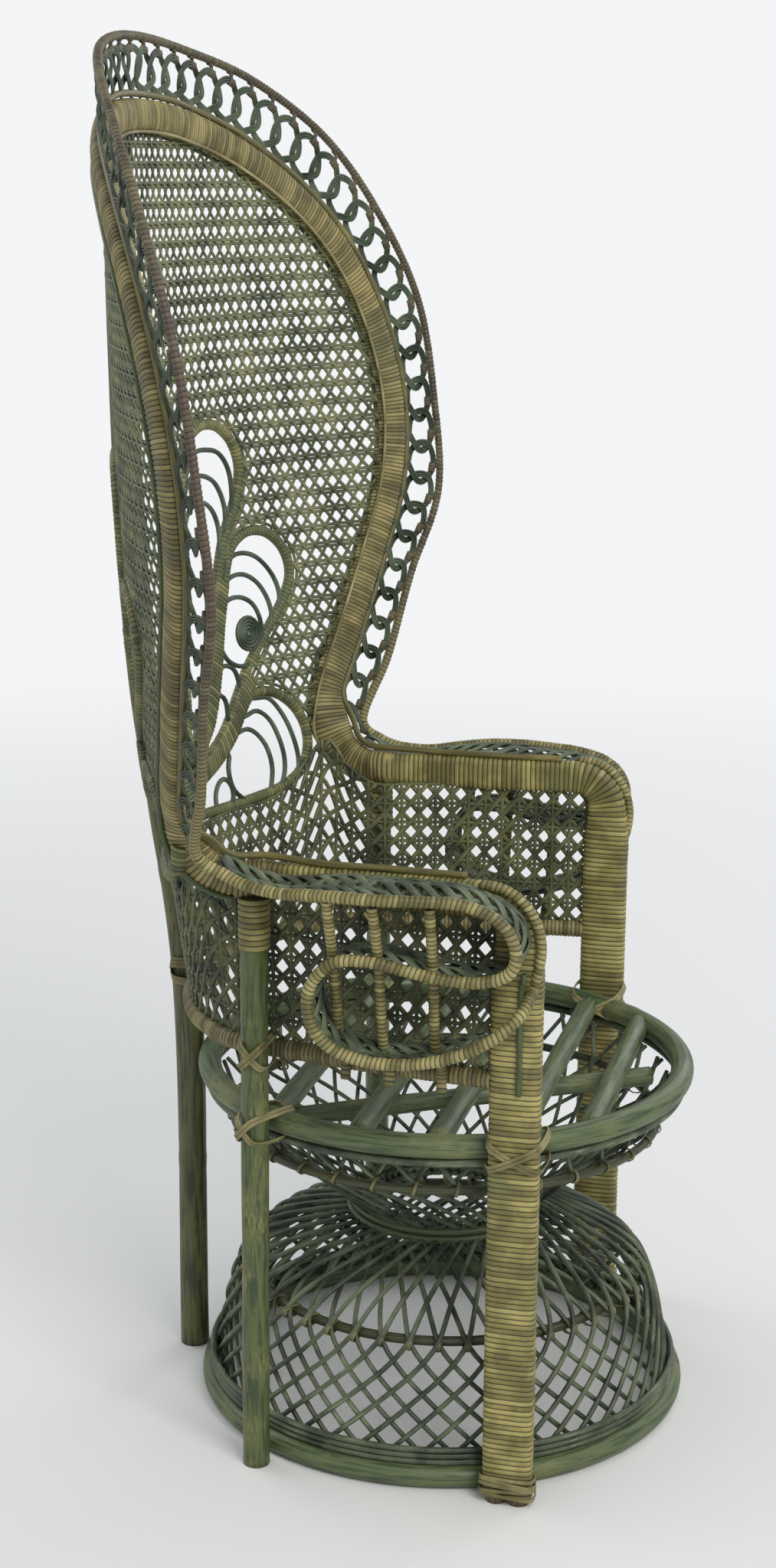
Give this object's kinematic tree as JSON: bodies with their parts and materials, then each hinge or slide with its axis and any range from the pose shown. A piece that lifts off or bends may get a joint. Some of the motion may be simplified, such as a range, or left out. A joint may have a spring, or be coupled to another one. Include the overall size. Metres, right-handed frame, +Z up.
{
  "type": "peacock chair",
  "caption": "Rattan peacock armchair with a tall fan-shaped openwork back, scrolled arms and a round hourglass base.",
  "frame": {"origin": "middle of the footprint's box, on the floor", "axes": "+Z up, the chair faces -Y, +X is the sitter's left hand"},
  "size_m": [0.9832, 0.6924, 1.5505],
  "materials": {
    "pole": "satin",
    "wrap": "satin",
    "cane": "satin",
    "net": "matt",
    "plait": "matt",
    "binding": "matt"
  },
  "bodies": {
    "root": {"floor_hoop": "pole", "seat_ring": "pole", "seat_slat_1": "pole", "seat_slat_2": "pole", "seat_slat_3": "pole", "seat_slat_4": "pole", "seat_slat_5": "pole", "seat_cross_bar": "pole", "mid_post_left": "pole", "mid_post_right": "pole", "rear_post": "pole", "band_edge_rod": "pole", "leg_and_arm_left": "wrap", "leg_and_arm_right": "wrap", "back_band": "wrap", "rim_rod": "wrap", "fan_loop_middle": "wrap", "fan_loop_1_left": "wrap", "fan_loop_1_right": "wrap", "fan_loop_2_left": "wrap", "fan_loop_2_right": "wrap", "fan_loop_3_left": "wrap", "fan_loop_3_right": "wrap", "fan_hub": "wrap", "lower_rail": "wrap", "arm_rod_left": "wrap", "arm_rod_right": "wrap", "scroll_bar_1_left": "wrap", "scroll_bar_1_right": "wrap", "scroll_bar_2_left": "wrap", "scroll_bar_2_right": "wrap", "scroll_bar_3_left": "wrap", "scroll_bar_3_right": "wrap", "thin_hoop_1": "cane", "thin_hoop_2": "cane", "thin_hoop_3": "cane", "base_canes_outer": "cane", "base_canes_inner": "cane", "funnel_canes_inner": "cane", "funnel_canes_outer": "cane", "under_ring": "cane", "border_left": "cane", "border_right": "cane", "fan_disc_left": "cane", "fan_disc_right": "cane", "back_net": "net", "arm_net": "net", "arm_strip_left": "plait", "arm_strip_right": "plait", "leg_lashing_left": "binding", "leg_lashing_right": "binding", "ring_lashing_left": "binding", "ring_lashing_right": "binding", "rail_lashing_left": "binding", "rail_lashing_right": "binding"}
  },
  "joints": []
}
